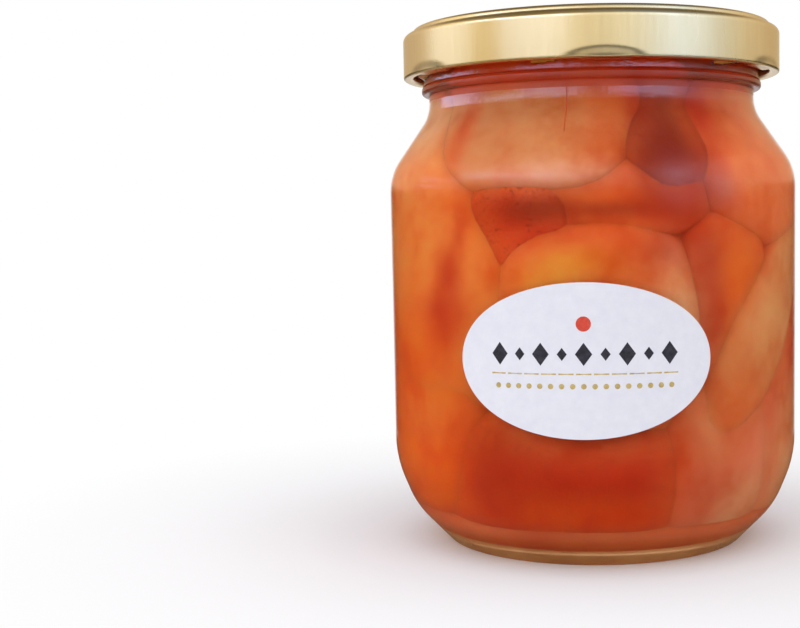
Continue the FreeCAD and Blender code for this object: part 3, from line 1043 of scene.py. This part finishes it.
def make_label(paper, charcoal, gilt, red):
    """The oval label with a plain ornament: lozenges, a dashed rule, dots and a small round."""
    edge = oval(0, 0, LABEL_WIDTH / 2 - PAPER_GAP, LABEL_HEIGHT / 2 - PAPER_GAP, 160)
    sheet = plate("label_paper", edge, paper, LABEL_BACK, LABEL_FACE, rings=24)
    back = LABEL_FACE - 0.01
    lozenges = []
    for number, x in enumerate(row(9, LOZENGE_STEP)):
        wide, tall = (1.7, 2.3) if number % 2 == 0 else (1.0, 1.3)
        corners = [(x - wide, LOZENGE_LEVEL), (x, LOZENGE_LEVEL - tall),
                   (x + wide, LOZENGE_LEVEL), (x, LOZENGE_LEVEL + tall)]
        lozenges.append(plate("lozenge", corners, charcoal, back, PRINT_FACE))
    low, high = RULE_LEVEL - RULE_HALF, RULE_LEVEL + RULE_HALF
    gold = []
    for x in row(11, DASH_STEP):
        left, right = x - DASH_HALF, x + DASH_HALF
        dash = [(left, low), (right, low), (right, high), (left, high)]
        gold.append(plate("dash", dash, gilt, back, PRINT_FACE))
    for x in row(17, DOT_STEP):
        gold.append(plate("dot", oval(x, DOT_LEVEL, DOT, DOT, 16), gilt, back, PRINT_FACE))
    ornament = joined("label_ornament", lozenges)
    gilding = joined("label_gilding", gold)
    small_round = plate("label_round", oval(0, ROUND_LEVEL, ROUND, ROUND, 32), red, back, PRINT_FACE)
    return [sheet, ornament, gilding, small_round]


# ------ Stage ------

def make_world():
    """The light all round.

    The camera sees plain white. Shiny and clear surfaces see white behind the object and, in front,
    a pale wall with soft windows over a dark floor line; only rays that stay mirror-sharp see the
    glints. Matt surfaces get an even light.
    """
    world = bpy.data.worlds.new("studio")
    bpy.context.scene.world = world
    nodes = Nodes(world)
    path = nodes.add("ShaderNodeLightPath")
    way = nodes.add("ShaderNodeTexCoord").outputs["Generated"]
    side, depth, rise = nodes.add("ShaderNodeSeparateXYZ", {"Vector": way}).outputs
    angle = nodes.maths("ARCTAN2", side, nodes.maths("MULTIPLY", depth, -1.0))
    around = nodes.maths("ADD", nodes.maths("DIVIDE", angle, 2 * math.pi), 0.5)
    behind = nodes.ramp(depth, [(0.91, 0), (0.99, 1)])
    wall = nodes.ramp(around, [
        (0.08, (0.62, 0.50, 0.33)), (0.16, (0.72, 0.59, 0.42)), (0.23, (1.18, 1.06, 0.72)),
        (0.31, (0.90, 0.72, 0.33)), (0.37, (0.86, 0.67, 0.27)), (0.43, (1.12, 0.97, 0.59)),
        (0.46, (1.11, 0.99, 0.66)), (0.51, (1.03, 0.98, 0.81)), (0.57, (1.18, 1.25, 1.28)),
        (0.65, (0.84, 1.08, 1.52)), (0.70, (0.93, 1.11, 1.34)), (0.72, (0.90, 1.00, 1.10)),
        (0.79, (0.82, 0.75, 0.59)), (0.89, (0.62, 0.49, 0.30))])
    ceiling = nodes.ramp(rise, [(0.03, 0.09), (0.07, 1), (0.50, 1), (0.62, 0.4), (0.80, 0.2)])
    front = nodes.mix(1.0, wall, ceiling, "MULTIPLY")
    under = nodes.ramp(nodes.maths("MULTIPLY", rise, -1.0), [(0.26, 0), (0.34, 0.6)])
    front = nodes.mix(under, front, wall)
    tall_windows = nodes.maths(
        "MULTIPLY", nodes.bands(rise, [(0.25, 0.30, 0.40, 0.46, 1)]),
        nodes.bands(around, [(0.26, 0.30, 0.46, 0.50, 1), (0.60, 0.62, 0.65, 0.67, 0.6)]))
    low_windows = nodes.maths(
        "MULTIPLY", nodes.bands(around, [
            (0.18, 0.20, 0.28, 0.30, 1), (0.34, 0.36, 0.45, 0.47, 1), (0.61, 0.63, 0.69, 0.72, 1)]),
        nodes.bands(rise, [(0.095, 0.101, 0.120, 0.127, 1), (0.175, 0.185, 0.250, 0.280, 0.6)]))
    glints = nodes.maths(
        "MULTIPLY", nodes.bands(around, [
            (0.13, 0.16, 0.24, 0.27, 1), (0.35, 0.38, 0.47, 0.49, 1), (0.53, 0.55, 0.66, 0.69, 1)]),
        nodes.bands(rise, [(0.00, 0.04, 0.36, 0.44, 1)]))
    glints = nodes.maths("MULTIPLY", glints, path.outputs["Is Singular Ray"])
    front = nodes.mix(tall_windows, front, (2.3, 2.9, 4.2, 1))
    front = nodes.mix(low_windows, front, (1.8, 2.2, 3.2, 1))
    front = nodes.mix(glints, front, (2.8, 3.0, 4.3, 1))
    mirrored = nodes.mix(behind, front, grey(1))
    shiny = nodes.maths("ADD", path.outputs["Is Glossy Ray"], path.outputs["Is Transmission Ray"], True)
    from_matt = nodes.maths("MINIMUM", path.outputs["Diffuse Depth"], 1.0)
    shiny = nodes.maths("MULTIPLY", shiny, nodes.maths("SUBTRACT", 1.0, from_matt))
    through = nodes.maths("MULTIPLY", path.outputs["Is Transmission Ray"], from_matt)
    even = nodes.mix(through, (0.78, 0.78, 0.80, 1), grey(1.35))
    light = nodes.mix(shiny, even, mirrored)
    colour = nodes.mix(path.outputs["Is Camera Ray"], light, grey(1))
    back = nodes.add("ShaderNodeBackground", {"Color": colour, "Strength": 1.0})
    nodes.add("ShaderNodeOutputWorld", {"Surface": back})


def make_floor():
    """A pale round floor that keeps the shadow and turns into the white background."""
    radius = 0.17
    turns = [math.radians(degrees) for degrees in range(0, 360, 4)]
    edge = [(radius * math.cos(turn), radius * math.sin(turn), 0) for turn in turns]
    mesh = bpy.data.meshes.new("floor")
    mesh.from_pydata(edge, [], [tuple(range(len(edge)))])
    floor = bpy.data.objects.new("floor", mesh)
    bpy.context.scene.collection.objects.link(floor)
    nodes = material_nodes("pale_floor")
    place = nodes.place()
    away = nodes.add("ShaderNodeVectorMath", {0: place}, operation="LENGTH").outputs["Value"]
    far = nodes.ramp(away, [(0.06, 0), (0.16, 1)])
    path = nodes.add("ShaderNodeLightPath")
    seen = nodes.maths("ADD", path.outputs["Is Camera Ray"], path.outputs["Is Transmission Ray"], True)
    share = nodes.maths("MAXIMUM", nodes.maths("MULTIPLY", far, seen), path.outputs["Is Glossy Ray"])
    matt = nodes.add("ShaderNodeBsdfDiffuse", {"Color": (0.93, 0.93, 0.94, 1)})
    back = nodes.ramp(nodes.add("ShaderNodeSeparateXYZ", {"Vector": place}).outputs["Y"],
                      [(0.12, (0.16, 0.09, 0.05)), (0.16, 1)])
    white = nodes.add("ShaderNodeEmission", {"Color": nodes.mix(seen, back, grey(1)), "Strength": 1.0})
    mesh.materials.append(nodes.finish(nodes.mix_shaders(share, matt, white)))


def soft_box(name, azimuth, height, distance, wide, tall, power, colour=(1, 1, 1)):
    """A soft lamp that faces the jar's middle."""
    lamp = bpy.data.lights.new(name, "AREA")
    lamp.shape = "RECTANGLE"
    lamp.size = wide
    lamp.size_y = tall
    lamp.energy = power
    lamp.color = colour
    holder = bpy.data.objects.new(name, lamp)
    place = Vector(on_wall(azimuth, height, distance).tolist())
    middle = Vector((0, 0, 0.06))
    holder.location = place
    holder.rotation_euler = (middle - place).to_track_quat("-Z", "Y").to_euler()
    holder.visible_glossy = False
    holder.visible_transmission = False
    bpy.context.scene.collection.objects.link(holder)


def make_lights():
    soft_box("left_box", -58, 0.27, 0.70, 0.80, 0.26, 1.33, (0.98, 0.98, 1.0))
    soft_box("right_box", 60, 0.36, 0.80, 0.45, 0.26, 0.75, (1.0, 0.99, 0.97))
    soft_box("top_box", 0, 0.95, 0.25, 0.9, 0.6, 1.8)


def make_camera():
    """The photograph's viewpoint: close, a little above the middle, and turned a little left."""
    distance, height = 310.0, 72.5
    pitch, yaw, roll = 0.0896, 0.0687, 0.0156
    focal, axis_across, axis_down = 1348.0, 100.0, 25.0
    width = 800.0
    camera = bpy.data.cameras.new("camera")
    camera.sensor_width = 36.0
    camera.lens = focal * camera.sensor_width / width
    camera.shift_x = -axis_across / width
    camera.shift_y = axis_down / width
    camera.clip_start = 0.01
    holder = bpy.data.objects.new("camera", camera)
    level_right = Vector((math.cos(yaw), math.sin(yaw), 0))
    level_ahead = Vector((-math.sin(yaw), math.cos(yaw), 0))
    up = Vector((0, 0, 1))
    ahead = level_ahead * math.cos(pitch) - up * math.sin(pitch)
    raised = level_ahead * math.sin(pitch) + up * math.cos(pitch)
    right = level_right * math.cos(roll) - raised * math.sin(roll)
    top = level_right * math.sin(roll) + raised * math.cos(roll)
    turn = Matrix((right, top, -ahead)).transposed().to_4x4()
    holder.matrix_world = Matrix.Translation(Vector((0, -distance, height)) * MM) @ turn
    bpy.context.scene.collection.objects.link(holder)
    bpy.context.scene.camera = holder


# ------ Assembly ------

def keep(pieces):
    for piece in pieces:
        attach(piece, "root")


make_camera()
make_world()
make_floor()
make_lights()

jar = make_glass([
    glass_material("clear_glass", 0.3),
    glass_material("wetted_glass", 0.05),
    # bead and seam glass, and below it thread glass: their tones are painted reflections of the fruit and
    # the lid's lining
    painted_reflection_material("bead_and_seam_glass_painted_reflection", (0.72, 0.12, 0.04), (0.84, 0.20, 0.07), 0.85),
    # heel glass, brown-orange as a painted reflection of the contents
    heel_painted_reflection_material(),
    glass_material("gleaming_glass", 0.9, 0.6, 0.0),
    painted_reflection_material("thread_glass_painted_reflection", (0.46, 0.17, 0.02), (0.62, 0.27, 0.05), 0.2)])
syrup = make_syrup(syrup_material())
fruit = make_fruit(fruit_material())
core = make_core(core_material())
lid = make_lid(gold_material(), lining_material())
label = make_label(paper_material(),
                   ink_material("charcoal_ink", (0.02, 0.02, 0.028), (0.045, 0.04, 0.055), 0.5),
                   ink_material("gilt_ink", (0.45, 0.33, 0.11), (0.62, 0.47, 0.18), 0.4),
                   ink_material("red_ink", (0.62, 0.05, 0.03), (0.70, 0.09, 0.05), 0.5))

keep([jar])
keep([syrup, core] + fruit)
keep([lid])
keep(label)
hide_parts("glass_jar")
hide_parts("compote")
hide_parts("lid")
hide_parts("label")

view = bpy.context.scene.view_settings
view.view_transform = "Standard"
